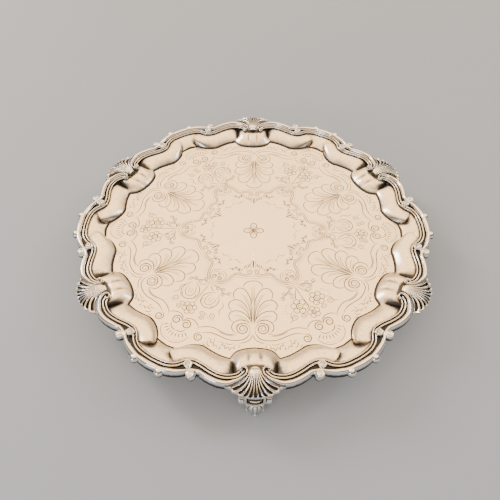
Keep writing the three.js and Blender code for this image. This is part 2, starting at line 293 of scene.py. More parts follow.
def reeds(skin, places, offset=0.0):
    """The lip and the reed, with the dark grooves beside them, along the border line."""
    n = np.concatenate([np.linspace(0, 3.6, 42), [4.6, REEDS_END]])
    hump = np.zeros_like(n)
    height = np.full_like(n, GROOVE_FLOOR)
    for middle, half, top in (LIP, REED):
        bow = np.sqrt(np.clip(1 - ((n - middle) / half) ** 2, 0, 1))
        height = np.maximum(height, GROOVE_FLOOR + (top - GROOVE_FLOOR) * bow**0.8)
        hump = np.maximum(hump, bow)
    oxide = np.clip(1.5 - 1.8 * hump, 0, 1)
    section_n = np.concatenate([n, [REEDS_END, 0]])
    section_z = np.concatenate([height, [SEAT, SEAT]])
    # the grooves' darkness is oxide; the last two values are painted shade on the faces beneath the casting
    section_o = np.concatenate([oxide, [1, 1]])
    plane = np.array([[beside_border(a, d) for d in section_n] for a in places])
    plane = rotated(plane, -offset)
    skin.add(world(plane, np.broadcast_to(section_z, plane.shape[:2])).reshape(-1, 3),
             tube_faces(len(places), len(section_n)), np.tile(section_o, len(places)))


def ball(centre, sizes, rings, sides):
    """A closed ball or rounded lump: centre and half sizes as (x, out, rise)."""
    tilt = math.pi * np.arange(1, rings)[:, None] / rings
    turn = 2 * math.pi * np.arange(sides) / sides
    level = np.cos(tilt) * np.ones(sides)
    unit = np.stack([np.sin(tilt) * np.cos(turn), np.sin(tilt) * np.sin(turn), level], -1)
    unit = np.vstack([unit.reshape(-1, 3), (0, 0, 1), (0, 0, -1)])
    top, bottom = len(unit) - 2, len(unit) - 1
    index = around(np.arange(top).reshape(-1, sides))
    faces = quads(index)
    faces += [[top, a, b] for a, b in zip(index[0], index[0, 1:])]
    faces += [[bottom, b, a] for a, b in zip(index[-1], index[-1, 1:])]
    return np.array(centre, float) + np.array(sizes) * unit, faces


def dome(skin, centre, size, middle, rings=10, sides=28):
    """A ball cast in one with its neighbour, with painted shade: bright above its middle and dark below."""
    p, faces = ball((*centre, middle), (size, size, size), rings, sides)
    bright = (rings // 2 - 1) * sides
    dark = (rings - 1) * sides - bright
    # painted shade: the lower half and bottom point dark, the upper half and top point bright
    skin.add(placed(p), faces, np.repeat([0, 0.85, 0, 0.6], [bright, dark, 1, 1]))


# ---------------------------------------------------------------- S-scroll
OUTER_CURL = polar(17.7, 143.4)
CURL_SIZE = 3.7
CURL_MIDDLE = 5.6
HOOK = np.array([8.2, 134.0])


def seat_disc(skin, centre, size, rise, sides=24):
    """The dark floor inside a hook."""
    p = np.array([(x, y, z) for z in (SEAT, rise) for x, y in circle_points(centre, size, sides)])
    skin.add(placed(p), prism_faces(sides), 1.0, smooth=False)


def scroll_skin():
    """The S-scroll to the right of a shell: hook, reeded arm, curl."""
    skin = Skin()
    reeds(skin, np.linspace(3.9, 18.35, 70))
    seat_disc(skin, HOOK + (0.2, 0), 2.9, 6.9)
    hook = [(8.7, 134.6), (9.9, 134.3), (10.3, 132.9), (8.9, 131.5), (6.9, 131.6), (5.6, 133.2),
            (5.6, 135.3), (6.6, 137.4)]
    lead = [(9.2, 139.5), (12.4, 141.2)]
    arm = [beside_border(a, BAND_OFFSET) for a in (7.9, 9.6, 11, 12.4, 13.8, 15)]
    curl = spiral(OUTER_CURL, 100, 2.9, 0.9, -1.45)
    line = through(np.vstack([hook, lead, arm, curl]), 0.4)
    share = np.linspace(0, 1, len(line))
    width = np.interp(share, [0, 0.03, 0.16, 0.24, 0.34, 0.42, 0.6, 0.7, 0.86, 0.97, 1],
                      [0.5, 0.95, 1.05, 1.3, 1.95, 2.2, 2.2, 1.8, 1.25, 0.9, 0.3])
    crest = np.interp(share, [0, 0.06, 0.2, 0.34, 0.6, 0.8, 1], [8.6, 9.8, 10.0, 9.5, 9.4, 9.2, 9.9])
    band(skin, line, width, crest)
    dome(skin, OUTER_CURL, CURL_SIZE, CURL_MIDDLE)
    return skin


# ---------------------------------------------------------------- arch
VOLUTE = rotated(polar(19.6, 137.7), -HALF_SECTOR)
VOLUTE_EYE = 1.5
VOLUTE_MIDDLE = 7.9
BEAD = rotated(polar(26.0, 149.4), -HALF_SECTOR)
BEAD_SIZE = 3.55
BEAD_MIDDLE = 6.2


def arch_skin():
    """The arch between two S-scrolls, in its own frame: two volutes, reeds, band and beads."""
    skin = Skin()
    reeds(skin, np.linspace(18.45, SECTOR_ANGLE - 18.45, 120), offset=HALF_SECTOR)
    eye = spiral(VOLUTE, -70, 0.5, 3.1, 1.62)
    neck = rotated([(44.6, 132.7), (46.9, 134.0), (50.6, 134.6), (55.2, 134.7)], -HALF_SECTOR)
    run = [rotated(beside_border(a, BAND_OFFSET), -HALF_SECTOR) for a in (25.2, 26.6, 28.2, 30)]
    half = np.vstack([eye[:-1], neck, run])
    line = through(np.vstack([half, mirrored(half[:-1])[::-1]]), 0.42)
    share = np.abs(np.linspace(-1, 1, len(line)))
    width = np.interp(share, [0, 0.1, 0.17, 0.3, 0.42, 0.55, 0.75, 0.96, 1],
                      [2.5, 2.4, 2.0, 2.4, 2.2, 1.5, 1.0, 0.8, 0.2])
    crest = np.interp(share, [0, 0.6, 0.85, 1], [9.4, 9.4, 9.7, 10.0])
    band(skin, line, width, crest, floor_turn=HALF_SECTOR)
    for side in (1, -1):
        dome(skin, VOLUTE * (side, 1), VOLUTE_EYE, VOLUTE_MIDDLE)
        dome(skin, BEAD * (side, 1), BEAD_SIZE, BEAD_MIDDLE)
    return skin


# ---------------------------------------------------------------- shell
RIBS = 10
SHELL_ROOT = 131.6
SHELL_HALF_WIDTH = 20.5
SHELL_CREST = 10.5
SHELL_THICKNESS = 1.9
PLATE_EDGE = 142  # beyond this radius a shell stands clear of the ledge
SHELL_DROOP = 2.9  # how far the edge hangs below the crest
FLUTE_DEPTH = 2.1
SCALLOP = 0.085  # how far the edge draws back between two ribs, as a share of the shell's length


def rib_point(across, share):
    """A point of the shell's fan: across from -1 to 1, share from the root to the edge."""
    root = 2.8 * across
    tip = SHELL_HALF_WIDTH * across
    end = TIP_RADIUS - 7.6 * abs(across) ** 2.3
    length = end - SHELL_ROOT
    a = np.array([root, SHELL_ROOT])
    b = np.array([root * 1.6, SHELL_ROOT + length * 0.7])
    c = np.array([tip * 0.52, end - 0.9])
    d = np.array([tip, end])
    t = share
    return a * (1 - t) ** 3 + 3 * b * t * (1 - t) ** 2 + 3 * c * t**2 * (1 - t) + d * t**3


def shell_surface(across, phase, s):
    """Height and oxide of the fan; phase runs from 0 to 1 between two ribs, s from root to edge."""
    spacing = 0.62 + 3.9 * s**1.3
    half = 0.3 + 0.84 * s + 0.6 * smoothstep((s - 0.84) / 0.14)
    ridge = math.sqrt(max(0.0, 1 - (min(phase, 1 - phase) * spacing / half) ** 2))
    lip = smoothstep((s - 0.915) / 0.035)
    floor = 1 - max(ridge**0.62, lip * 0.85)
    depth = FLUTE_DEPTH * floor * smoothstep((s - 0.06) / 0.22)
    nose = 1.6 * (1 - smoothstep(s / 0.09)) + 1.1 * abs(across) ** 3 * (1 - smoothstep(s / 0.5))
    tip = 0.7 * lip * ridge
    height = SHELL_CREST - SHELL_DROOP * s**2.2 - depth - nose - 0.25 * lip + tip
    return height, np.clip(depth / 0.9 - 0.35, 0, 1)


def shell_skin():
    """A fan of narrow ribs over dark flutes, from a smooth root to a scalloped, drooping edge."""
    per_rib, rows = 20, 60
    across = np.linspace(-1, 1, (RIBS - 1) * per_rib + 1)
    phase = (np.arange(len(across)) % per_rib) / per_rib
    top = np.zeros((len(across), rows, 3))
    dark = np.zeros((len(across), rows))
    for i, (side, p) in enumerate(zip(across, phase)):
        drawn_back = 1 - SCALLOP * math.sin(math.pi * p) ** 0.7
        for j, s in enumerate(np.linspace(0, 1, rows)):
            height, dark[i, j] = shell_surface(side, p, s)
            top[i, j] = (*rib_point(side, s * drawn_back), height)
    lower = top.copy()
    overhangs = np.linalg.norm(top[..., :2], axis=-1) > PLATE_EDGE
    lower[..., 2] -= SHELL_THICKNESS
    lower[..., 2] = np.where(overhangs, lower[..., 2], np.maximum(lower[..., 2], SEAT))
    index = np.arange(dark.size).reshape(dark.shape)
    under = dark.size
    faces = quads(index) + quads(index.T + under)
    rim = [*index[:, 0], *index[-1, 1:], *index[-2::-1, -1], *index[0, -2:0:-1]]
    for a, b in zip(rim, rim[1:] + rim[:1]):
        faces.append([b, a, a + under, b + under])
    skin = Skin()
    both = np.concatenate([top.reshape(-1, 3), lower.reshape(-1, 3)])
    # the darkness on top is oxide in the flutes; the 0.4 on the underside is painted shade
    skin.add(placed(both), faces, np.concatenate([dark.ravel(), np.full(dark.size, 0.4)]))
    return skin


# ---------------------------------------------------------------- foot
def slab(outline, middle, width):
    """A plate cut to a side view (out, rise), standing square to the x axis at a distance across."""
    points = [(middle + side * width / 2, out, rise) for side in (-1, 1) for out, rise in outline]
    return np.array(points, float), prism_faces(len(outline))


def wheel(radius, middle, width):
    """A disc round a foot's ear."""
    return slab(circle_points((EAR_OUT, EAR_RISE), radius, 36), middle, width)


def blob(centre, sizes):
    return ball(centre, sizes, 18, 28)


def rod(line, radius, sides=14):
    """A round rod along points (x, out, rise), with its radius at each point."""
    line = np.asarray(line, float)
    radius = np.broadcast_to(radius, (len(line),))
    points = []
    for p, d, r in zip(line, np.gradient(line, axis=0), radius):
        d = Vector(d).normalized()
        aside = Vector((1, 0, 0.01)) if abs(d.x) < 0.9 else Vector((0, 1, 0))
        u = d.cross(aside).normalized()
        v = d.cross(u)
        for i in range(sides):
            t = 2 * math.pi * i / sides
            points.append(Vector(p) + (u * math.cos(t) + v * math.sin(t)) * r)
    return np.array(points, float), tube_faces(len(line), sides)


TABLE = -PLATE_TOP
BALL_OUT = 146.9
BALL_RADIUS = 6.0
BALL_RISE = TABLE + BALL_RADIUS
EAR_OUT, EAR_RISE = 146.2, -9.4
EAR_RADIUS = 3.9


def ear(side):
    """The scrolled ear on one side of a foot: a wheel, its hub and the coil on its face."""
    coil_line = [(side * 11.0, EAR_OUT + (3.4 - 0.045 * i) * math.cos(i * 0.28),
                  EAR_RISE + (3.4 - 0.045 * i) * math.sin(i * 0.28)) for i in range(40)]
    hub = wheel(1.5, side * 11.2, 1.2)
    return [wheel(EAR_RADIUS, side * 9.0, 4.0), hub, rod(coil_line, 0.55)]


def claw(turn):
    """One toe of the claw, from the top of the ball down its side to a nail on the table."""
    right, ahead = math.sin(math.radians(turn)), math.cos(math.radians(turn))
    line = []
    for i in range(12):
        tilt = math.radians(14 + i * 9.5)
        reach = BALL_RADIUS * math.sin(tilt)
        line.append((reach * right, BALL_OUT + reach * ahead, BALL_RISE + BALL_RADIUS * math.cos(tilt)))
    nail_reach = 5.9 if turn < 180 else 4.4
    nail = (nail_reach * right, BALL_OUT + nail_reach * ahead, TABLE + 2.2)
    joint = line[5]
    return [rod(line, np.linspace(1.7, 0.85, 12)), blob(joint, (1.35, 1.35, 1.15)),
            blob(nail, (1.5, 1.9, 2.2))]


def foot_parts():
    """The lumps that are cast in one as a foot, each as points (x, out, rise) and faces."""
    cheek = [(131.5, 4.1), (139.6, 4.1), (141, 2.6), (145.6, 1.6), (147.8, -2.4), (148.4, -7.6),
             (147.6, -10), (141.4, -10), (139.0, -6), (134, -0.5)]
    back = [(131.5, 4.1), (139.6, 4.1), (141, 2.4), (143.2, 1.2), (143.6, -3), (143.4, -7),
            (144.6, -10), (145.6, -14.2), (142.6, -14.2), (139.2, -7.6), (134, -1.3)]
    parts = [slab(back, 0, 12.6)]
    for side in (-1, 1):
        parts.append(slab(cheek, side * 6.4, 1.7))
        parts += ear(side)
        knuckle = [(6.4, 147.8, -2.6), (6.6, 149.0, -6), (6.2, 149.6, -9.4), (4.6, 150.4, -11.6)]
        parts.append(rod(through([(side * x, out, rise) for x, out, rise in knuckle], 0.7), 0.9))
    collar = [(-8.6, 147.2, -10.8), (-5, 149.4, -11.4), (0, 150.4, -11.6), (5, 149.4, -11.4),
              (8.6, 147.2, -10.8)]
    parts.append(rod(through(collar, 0.8), 1.15))
    parts.append(blob((0, 145.6, -12.2), (6.6, 4.8, 2.2)))
    parts.append(blob((0, BALL_OUT, BALL_RISE), (BALL_RADIUS,) * 3))
    for turn in (-70, 0, 70, 180):
        parts += claw(turn)
    parts.append(blob((0, BALL_OUT, TABLE + 1.1), (3.7, 3.7, 1.6)))
    return parts


VOXEL = 0.00028  # metres


def read(items, attribute, width, kind=np.float32):
    values = np.zeros(len(items) * width, kind)
    items.foreach_get(attribute, values)
    return values.reshape(-1, width)


def foot_mesh():
    """The foot's lumps fused into one skin, cut level with the table, with its hollows darkened, partly as
    oxide and partly as painted shade.
    """
    points, faces = [], []
    for p, f in foot_parts():
        first = len(points)
        points.extend(p)
        faces.extend([[first + i for i in face] for face in f])
    raw = bpy.data.meshes.new("foot_lumps")
    raw.from_pydata((placed(np.array(points)) * MM).tolist(), [], faces)
    lumps = add_object("foot_lumps", raw)
    fuse = lumps.modifiers.new("fuse", "REMESH")
    fuse.mode = "VOXEL"
    fuse.voxel_size = VOXEL
    ease = lumps.modifiers.new("ease", "SMOOTH")
    ease.iterations = 5
    ease.factor = 0.5
    graph = bpy.context.evaluated_depsgraph_get()
    mesh = bpy.data.meshes.new_from_object(lumps.evaluated_get(graph))
    bpy.data.objects.remove(lumps)
    bpy.data.meshes.remove(raw)
    mesh.name = "cast_foot"
    at = read(mesh.vertices, "co", 3)
    at[:, 2] = np.maximum(at[:, 2], 0)
    mesh.vertices.foreach_set("co", at.ravel())
    mesh.polygons.foreach_set("use_smooth", [True] * len(mesh.polygons))
    layer = mesh.attributes.new("oxide", "FLOAT", "POINT")
    layer.data.foreach_set("value", hollowness(mesh, at))
    mesh.update()
    return mesh


def hollowness(mesh, at, rounds=14):
    """How far each point lies inside the average of its neighbourhood, from 0 to 1."""
    a, b = read(mesh.edges, "vertices", 2, np.int32).T
    normals = read(mesh.vertices, "normal", 3)
    eased = at.copy()
    valence = np.bincount(a, minlength=len(at)) + np.bincount(b, minlength=len(at))
    for _ in range(rounds):
        total = np.zeros_like(eased)
        np.add.at(total, a, eased[b])
        np.add.at(total, b, eased[a])
        eased = total / np.maximum(valence, 1)[:, None]
    inward = ((eased - at) * normals).sum(1) / MM
    # the darkening of the hollows is partly oxide and partly painted shade
    everywhere, per_millimetre = 0.1, 8
    return np.clip(everywhere + inward * per_millimetre, 0, 1).astype(np.float32)


# ---------------------------------------------------------------- plate
RIM_START = 0.8  # the dished rim springs from just above the flat
CREASE_DEPTH = 3.2
FLUTE_PLACE = 5.0  # millimetres from a shell's axis to the flutes in its cushion
UNDERSIDE_RINGS = (-1, -2, -12, -20, 2, 0)  # rings of the upper side that the underside repeats


def plate_columns():
    """Degrees of the rim's columns in half a sector, closer together at the two creases."""
    parts = [np.linspace(0, 7.8, 18), np.linspace(7.95, 9.05, 10), np.linspace(9.4, 25.2, 38),
             np.linspace(25.4, 26.8, 13), np.linspace(27.1, 30, 8)]
    return np.concatenate(parts)


def column_shift(c, t, fade_from=17.5, fade_over=9):
    """How far, in degrees, a column leans as it climbs, so that it follows the creases."""
    first = np.interp(t, [0, 0.2, 0.45, 0.7, 1], [0, -1.0, -1.6, -1.9, -2.4])
    second = np.interp(t, [0, 0.25, 0.48, 0.7, 0.85, 1], [0, 0.7, 0.8, -0.3, -1.5, -3.1])
    near_first = c / CUSHION_EDGE if c < CUSHION_EDGE else max(0, 1 - (c - CUSHION_EDGE) / fade_over)
    near_second = (HALF_SECTOR - c) / (HALF_SECTOR - PANEL_EDGE)
    if c < PANEL_EDGE:
        near_second = max(0, (c - fade_from) / (PANEL_EDGE - fade_from))
    return first * near_first + second * near_second


def across_cushion(c):
    """Millimetres from a shell's axis to a column at the cushion."""
    return 17 * c / CUSHION_EDGE


def panel_height(c, t):
    """Height of the dished rim at a column and a share of the way from the flat to the border."""
    rise = RIM_START + (LEDGE_RISE - RIM_START) * (1 - (1 - t) ** 1.8)
    crown = math.sin(math.pi * t) ** 0.9
    deep = CREASE_DEPTH * smoothstep((t - 0.12) / 0.5)
    if c < CUSHION_EDGE:
        beside = math.exp(-((across_cushion(c) - FLUTE_PLACE) / 1.6) ** 2)
        flute = 0.95 * beside * math.exp(-((t - 0.52) / 0.33) ** 2)
        valley = deep * math.exp(-(CUSHION_EDGE - c) / 0.75)
        return rise + 1.5 * crown * (1 - (c / CUSHION_EDGE) ** 6) - flute - valley
    if c < PANEL_EDGE:
        s = (c - CUSHION_EDGE) / (PANEL_EDGE - CUSHION_EDGE)
        valley = deep * math.exp(-(c - CUSHION_EDGE) / 0.9)
        ridge = 1.4 * math.exp(-((PANEL_EDGE - c) / 1.6)) * math.sin(math.pi * min(1, t * 1.02))
        return rise + 1.0 * crown * (0.6 + 0.7 * s) - valley + ridge
    hollow = 2.9 * math.exp(-(c - PANEL_EDGE) / 1.0) * math.sin(math.pi * min(1, t + 0.04)) ** 0.6
    return rise + 0.25 * crown - hollow


def rim_oxide(c, t):
    """Oxide and painted shade on the dished rim: a painted darker reflection all over it, painted shade thick
    in the creases, the flutes, under the moulding and at the cusps, and oxide in the groove at the flat's
    edge.
    """
    # wedge, crescent and fold: painted shade in and beside the creases; hem: painted shade under the
    # moulding; flutes: painted shade in the cushion's flutes; foot: oxide in the groove at the flat's edge
    wedge_width = 0.45 + 1.3 * t**2
    wedge = 1.25 * math.exp(-(abs(c - CUSHION_EDGE) / wedge_width) ** 1.4) * smoothstep((t - 0.02) / 0.4)
    beyond = c - PANEL_EDGE
    crescent = math.exp(-beyond / 0.55) * math.sin(math.pi * min(1, t + 0.06)) ** 0.6 if beyond > 0 else 0
    fold = 0.35 * math.exp(beyond / 0.4) * math.sin(math.pi * t) if beyond <= 0 else 0
    hem = smoothstep((t - 0.9) / 0.09)
    foot = 0.6 * (1 - smoothstep(t / 0.06))
    beside = math.exp(-((across_cushion(c) - FLUTE_PLACE) / 1.1) ** 2)
    flutes = 0.5 * beside * math.exp(-((t - 0.52) / 0.27) ** 2)
    # the 0.27 everywhere is a painted darker reflection over the whole dished rim
    return min(1.0, 0.27 + wedge + crescent + fold + hem + foot + flutes)


def rim_rings():
    """The columns' degrees, and the dished rim ring by ring from the flat's edge: points, and the darkening
    of each point: oxide in the groove, painted shade and reflection on the dished rim.
    """
    half = plate_columns()
    columns = np.concatenate([half, (SECTOR_ANGLE - half[:-1])[::-1][:-1]])
    local = np.where(columns <= HALF_SECTOR, columns, SECTOR_ANGLE - columns)
    sign = np.where(columns <= HALF_SECTOR, 1, -1)
    rings, oxide = [], []
    groove = [(-0.7, 0.0, 0.0), (-0.15, -0.3, 1.0), (0.45, RIM_START, 1.0)]  # (outward, height, oxide)
    for shift, height, dark in groove:
        ring = [(*polar(a + k * SECTOR_ANGLE, radius_on(INNER_LINE, c) + shift), height)
                for k in range(SECTORS) for a, c in zip(columns, local)]
        rings.append(ring)
        oxide.append(np.full(len(ring), dark))
    shares = 1 - np.cos(np.linspace(0.25, 1, 20) * math.pi / 2)
    for t in shares / shares[-1]:
        ring, dark = [], []
        for k in range(SECTORS):
            for a, c, s in zip(columns, local, sign):
                lean = column_shift(c, t)
                end = radius_on(BORDER_LINE, c + column_shift(c, 1)) + 0.1
                start = radius_on(INNER_LINE, c) + 0.4
                plane = polar(a + s * lean + k * SECTOR_ANGLE, start + (end - start) * t)
                ring.append((*plane, panel_height(c, t)))
                dark.append(rim_oxide(c, t))
        rings.append(ring)
        oxide.append(np.array(dark))
    return columns, rings, oxide


# ---------------------------------------------------------------- engraving
LINE_WEIGHT = 1.4  # multiplies the half width that each stroke below has
CUT_STEP = 0.95  # length of a stroke's straight pieces
ENGRAVING_TURN = -0.8  # degrees: the pattern doesn't sit quite square to the rim
CUT_DEPTH = 0.1
ENGRAVED_RADIUS = 126  # a stroke that reaches beyond it is left out


def cut(points, half):
    return [(through(points, CUT_STEP), half)]


def cuts(lines, half):
    return [stroke for line in lines for stroke in cut(line, half)]


def sided(side, points):
    return [(side * x, y) for x, y in points]


def both_sides(strokes):
    return strokes + [(mirrored(line), half) for line, half in strokes]


def turned(strokes, angle):
    return [(rotated(line, angle), half) for line, half in strokes]


def moved(strokes, centre, angle=0.0, size=1.0):
    """Strokes drawn round (0, 0), turned, scaled and put at a centre."""
    return [(rotated(line * size, angle) + np.asarray(centre), half) for line, half in strokes]


def coil(centre, start_angle, start_radius, end_radius, turns, half=0.26):
    return [(evenly(spiral(centre, start_angle, start_radius, end_radius, turns, 24), 0.65), half)]


def circle(centre, radius, half):
    return coil(centre, 0, radius, radius, 1, half)


def dash(start, end, half=0.24):
    return [(evenly(np.array([start, end], float), CUT_STEP), half)]


def dots(line, spacing, half):
    """Short pecks along a line."""
    strokes = []
    reach = np.array([0.22, 0])
    for point in evenly(line, spacing):
        strokes.append((np.array([point - reach, point, point + reach]), half))
    return strokes


def leaf(length, width):
    """A pointed leaf lying along +out from (0, 0), with its midrib."""
    side = [(0, 0), (width * 0.8, length * 0.3), (width, length * 0.55), (0, length)]
    return both_sides(cut(side, 0.17)) + dash((0, length * 0.15), (0, length * 0.7), 0.12)


def spray(stem, leaves, length):
    """A stem with leaves on alternate sides of it."""
    line = through(stem, CUT_STEP)
    strokes = [(line, 0.19)]
    for i in range(leaves):
        at = int((i + 1) / (leaves + 0.4) * (len(line) - 2))
        ahead = line[at + 1] - line[at]
        heading = math.degrees(math.atan2(ahead[0], ahead[1])) + (48 if i % 2 else -48)
        strokes += moved(leaf(length, length * 0.27), line[at], heading)
    return strokes


def daisy(petals, inner, outer):
    """A flower of round petals with a ring at its middle."""
    strokes = circle((0, 0), inner, 0.3) + circle((0, 0), inner * 0.42, 0.17)
    gap = 360 / petals
    for i in range(petals):
        edge = [polar(-gap * 0.46, inner + 0.4), polar(-gap * 0.42, outer * 0.82), polar(-gap * 0.18, outer),
                polar(gap * 0.18, outer), polar(gap * 0.42, outer * 0.82), polar(gap * 0.46, inner + 0.4)]
        strokes += turned(cut(edge, 0.19), i * gap)
        strokes += turned(dash((0, inner + 1), (0, outer * 0.72), 0.13), i * gap)
    return strokes


def tulip(size=1.0):
    """A bell-shaped flower that hangs outward from its stem."""
    outline = [(-1.5, -9), (-5.6, -5), (-7.2, 0), (-5.4, 5.2), (0, 7.4),
               (5.4, 5.2), (7.2, 0), (5.6, -5), (1.5, -9)]
    inner = [(-2.6, -6), (-4.0, -1), (-2.6, 3.4), (0, 4.6), (2.6, 3.4), (4.0, -1), (2.6, -6)]
    strokes = cut(outline, 0.23) + cut(inner, 0.18)
    strokes += both_sides(dash((1.3, -3), (1.0, 2.2), 0.14))
    strokes += both_sides(cut([(4.6, 1.5), (5.6, 3), (4.4, 5)], 0.17))
    return moved(strokes, (0, 0), 0, size)


def palmette():
    """The nine-petalled fan on a shell's axis, springing from two volutes, with its side bands."""
    petals = [
        [(0.8, 77), (1.9, 71.6), (3.6, 66.8), (6.8, 62), (10.2, 60.8), (13.1, 61.9), (15.2, 65.7),
         (14.9, 69.8), (13.6, 72)],
        [(3.2, 82.4), (4.6, 78.8), (7.6, 74.4), (11.2, 72.1), (14.8, 72), (17.8, 74), (18.6, 76.8),
         (17.6, 80), (15.9, 82.3)],
        [(1.6, 91), (3.4, 87.4), (6.6, 84), (10.4, 82.1), (14.4, 81.9), (17.6, 84), (18, 87.6),
         (16.4, 90.4), (14.2, 91.8)],
        [(3.0, 91.8), (7.0, 90.1), (10.8, 90), (14.2, 92), (15.7, 95.6), (14.8, 98.8), (12.2, 101)],
    ]
    veins = [
        [(0.9, 93), (1.2, 80), (2.6, 73)], [(1.3, 91), (2.6, 80), (6.4, 70), (9.6, 65.5)],
        [(1.5, 92), (4.0, 84), (9.2, 78), (13.6, 76.2)], [(2.1, 93), (5.4, 88.6), (10, 86.4), (14, 86)],
    ]
    faint = [
        [(0.4, 93), (0.6, 80), (1.5, 65)], [(1.1, 92), (2.0, 80), (4.6, 71), (6.6, 67.5)],
        [(1.5, 91.5), (3.8, 83), (8, 77), (11.8, 74.9)], [(2.6, 92.4), (6, 90), (9, 88.8), (11.5, 88.6)],
        [(5.5, 98), (8.5, 93.4), (11.5, 93.8), (13, 97)],
    ]
    half = cuts(petals, 0.24) + cuts(veins, 0.15) + cuts(faint, 0.11)
    half += coil((7.4, 97.3), 178, 5.4, 1.1, -2.1)
    half += cut([(2, 98.2), (2.2, 101), (3.4, 103.4), (6.4, 106), (12, 107), (18.4, 106.2), (24, 103.6),
                 (29.6, 101.2), (34.4, 100.6), (37.6, 101.2)], 0.24)
    half += coil((39.7, 104.5), 115, 3.7, 1.0, -1.6)
    half += cut([(11.2, 101.4), (16, 102.2), (20.8, 101.2), (25.6, 98.4), (29.6, 96.4), (34.4, 95.8),
                 (39.2, 96.4), (41.8, 97.8)], 0.22)
    half += cut([(13, 103.2), (17.4, 103), (21.4, 101.9), (25.8, 99.5)], 0.16)
    half += cut([(0, 102.2), (1.8, 106), (4.8, 108), (9, 109.4)], 0.2)
    crown = cut([(-7.4, 60.4), (-7.2, 57.6), (-4.4, 54.6), (0, 53.7), (4.4, 54.6), (7.2, 57.6),
                 (7.4, 60.4)], 0.24)
    crown += both_sides(cut([(0.9, 58.6), (0.8, 62), (0.5, 74)], 0.13))
    return both_sides(half) + crown


def band_spray():
    """Loose, jagged leaves between a palmette's band and the rim."""
    edge = [(11.4, 110.2), (13.4, 111.6), (12.8, 113.6), (15.2, 112.8), (16.6, 115.2), (17.6, 112.4),
            (20.2, 113.8), (19.8, 111.2), (22.8, 110.8), (21.2, 109.2), (24.6, 107.8)]
    frond = [(25.6, 113.6), (26.4, 110.8), (28.6, 111.6), (28.2, 108.8), (30.8, 109), (30.2, 106.6),
             (32.6, 105.4)]
    strokes = cuts([edge, frond], 0.19)
    strokes += cut([(13.6, 109.6), (17, 110.4), (20, 108.8)], 0.15)
    strokes += cuts([[(31, 112.4), (33, 110), (32.6, 107.6)], [(34.4, 111.4), (36.4, 109.6)]], 0.19)
    for ends in (((23.4, 112), (24, 114.4)), ((27.6, 105.8), (28, 108)), ((9.2, 111), (10.2, 112.6))):
        strokes += dash(*ends)
    return both_sides(strokes)


def arch_motif():
    """The paired spirals, fan and wavy edge on an arch's axis."""
    half = coil((4.3, 106.4), 172, 4.1, 0.9, -1.65, 0.28)
    half += cut([(13.4, 103.6), (10.4, 101.4), (6, 100.3), (1.9, 101.8), (0.4, 104.6)], 0.22)
    half += cut([(11.6, 113.6), (10.4, 118.4), (6.8, 122.2), (2.6, 123.8), (0.2, 123.6)], 0.17)
    half += cut([(6.4, 110.2), (4.4, 113.2), (0, 114.3)], 0.22)
    for angle in (12.5, 25, 37.5, 50):
        half += dash(polar(angle, 10) + (0, 106), polar(angle, 13.4) + (0, 106))
    fan = dash((0, 116), (0, 119.6))
    fan += dots(through([(-9.4, 118), (-5.4, 121.2), (0, 122), (5.4, 121.2), (9.4, 118)], 1), 1.7, 0.2)
    return both_sides(half) + fan


def centre_ring():
    """One sixth of the double contour round the middle, from one arch's axis to the next."""
    strokes = []
    for offset in (0, 1.5):
        corner = [(0, 62.6 + offset), (5.4 + offset * 0.7, 60.8 + offset * 0.7), (8.3 + offset, 55.4),
                  (9.4 + offset, 50.6)]
        line = [rotated(p, -HALF_SECTOR) for p in corner]
        line += [polar(a, 47.8 + offset) for a in (-16, -12, -6, 0)]
        strokes += both_sides(cut(line, 0.2))
    edge = [rotated(p, -HALF_SECTOR) for p in [(0, 66), (7.2, 63.8), (11.4, 57), (12.4, 52)]]
    edge += [polar(a, 51.4) for a in (-14.5, -11, -6, 0)]
    return strokes + both_sides(dots(through(edge, 1), 1.75, 0.24))


def centre_fan():
    """A fan of dashes with two small spirals, inside the ring on a shell's axis."""
    half = dash((3.0, 36.6), (4.2, 40.4), 0.3) + dash((6.2, 38.2), (7.4, 41.2), 0.3)
    half += dash((8.2, 41.8), (10, 43.6), 0.26)
    half += coil((2.7, 45.2), 175, 2.4, 0.7, -1.4, 0.2)
    half += cuts([[(1.4, 33.6), (2.2, 37.6), (1.6, 41.6)], [(4.8, 37), (5.4, 41), (4.6, 43.4)]], 0.15)
    half += cut([(10.4, 39.6), (11.6, 43), (9.6, 46.4)], 0.16)
    return both_sides(half) + dash((0, 33), (0, 40.2), 0.4)


def heart():
    """The small fan and paired spirals inside the ring's bulge on an arch's axis."""
    half = coil((2.3, 58.3), 170, 2.1, 0.6, -1.5, 0.24)
    half += cut([(0.4, 50.8), (3.8, 51.2), (6.2, 54), (6, 57.6), (4.2, 60.6), (0.2, 61.4)], 0.17)
    half += cut([(0.4, 56), (1.2, 53.6), (3.4, 53.2), (4.4, 55.4)], 0.15)
    half += spray([(4, 46), (8, 43), (13, 41.8)], 3, 2.6)
    half += cut([(2.4, 36.4), (5, 34.6), (7.2, 36.4), (9.6, 35)], 0.16)
    return both_sides(half) + dash((0, 52), (0, 55.4), 0.16) + dash((0, 36), (0, 38.6), 0.2)


def bouquet_sides(stem, leaf_length, leaves, tendril):
    """On both sides, a leafy stem, loose leaves (length, width, x, out, angle) and a tendril."""
    strokes = []
    for side in (1, -1):
        strokes += spray(sided(side, stem), 4, leaf_length)
        for length, width, x, out, angle in leaves:
            strokes += moved(leaf(length, width), (side * x, out), side * angle)
        strokes += cut(sided(side, tendril), 0.18)
    return strokes


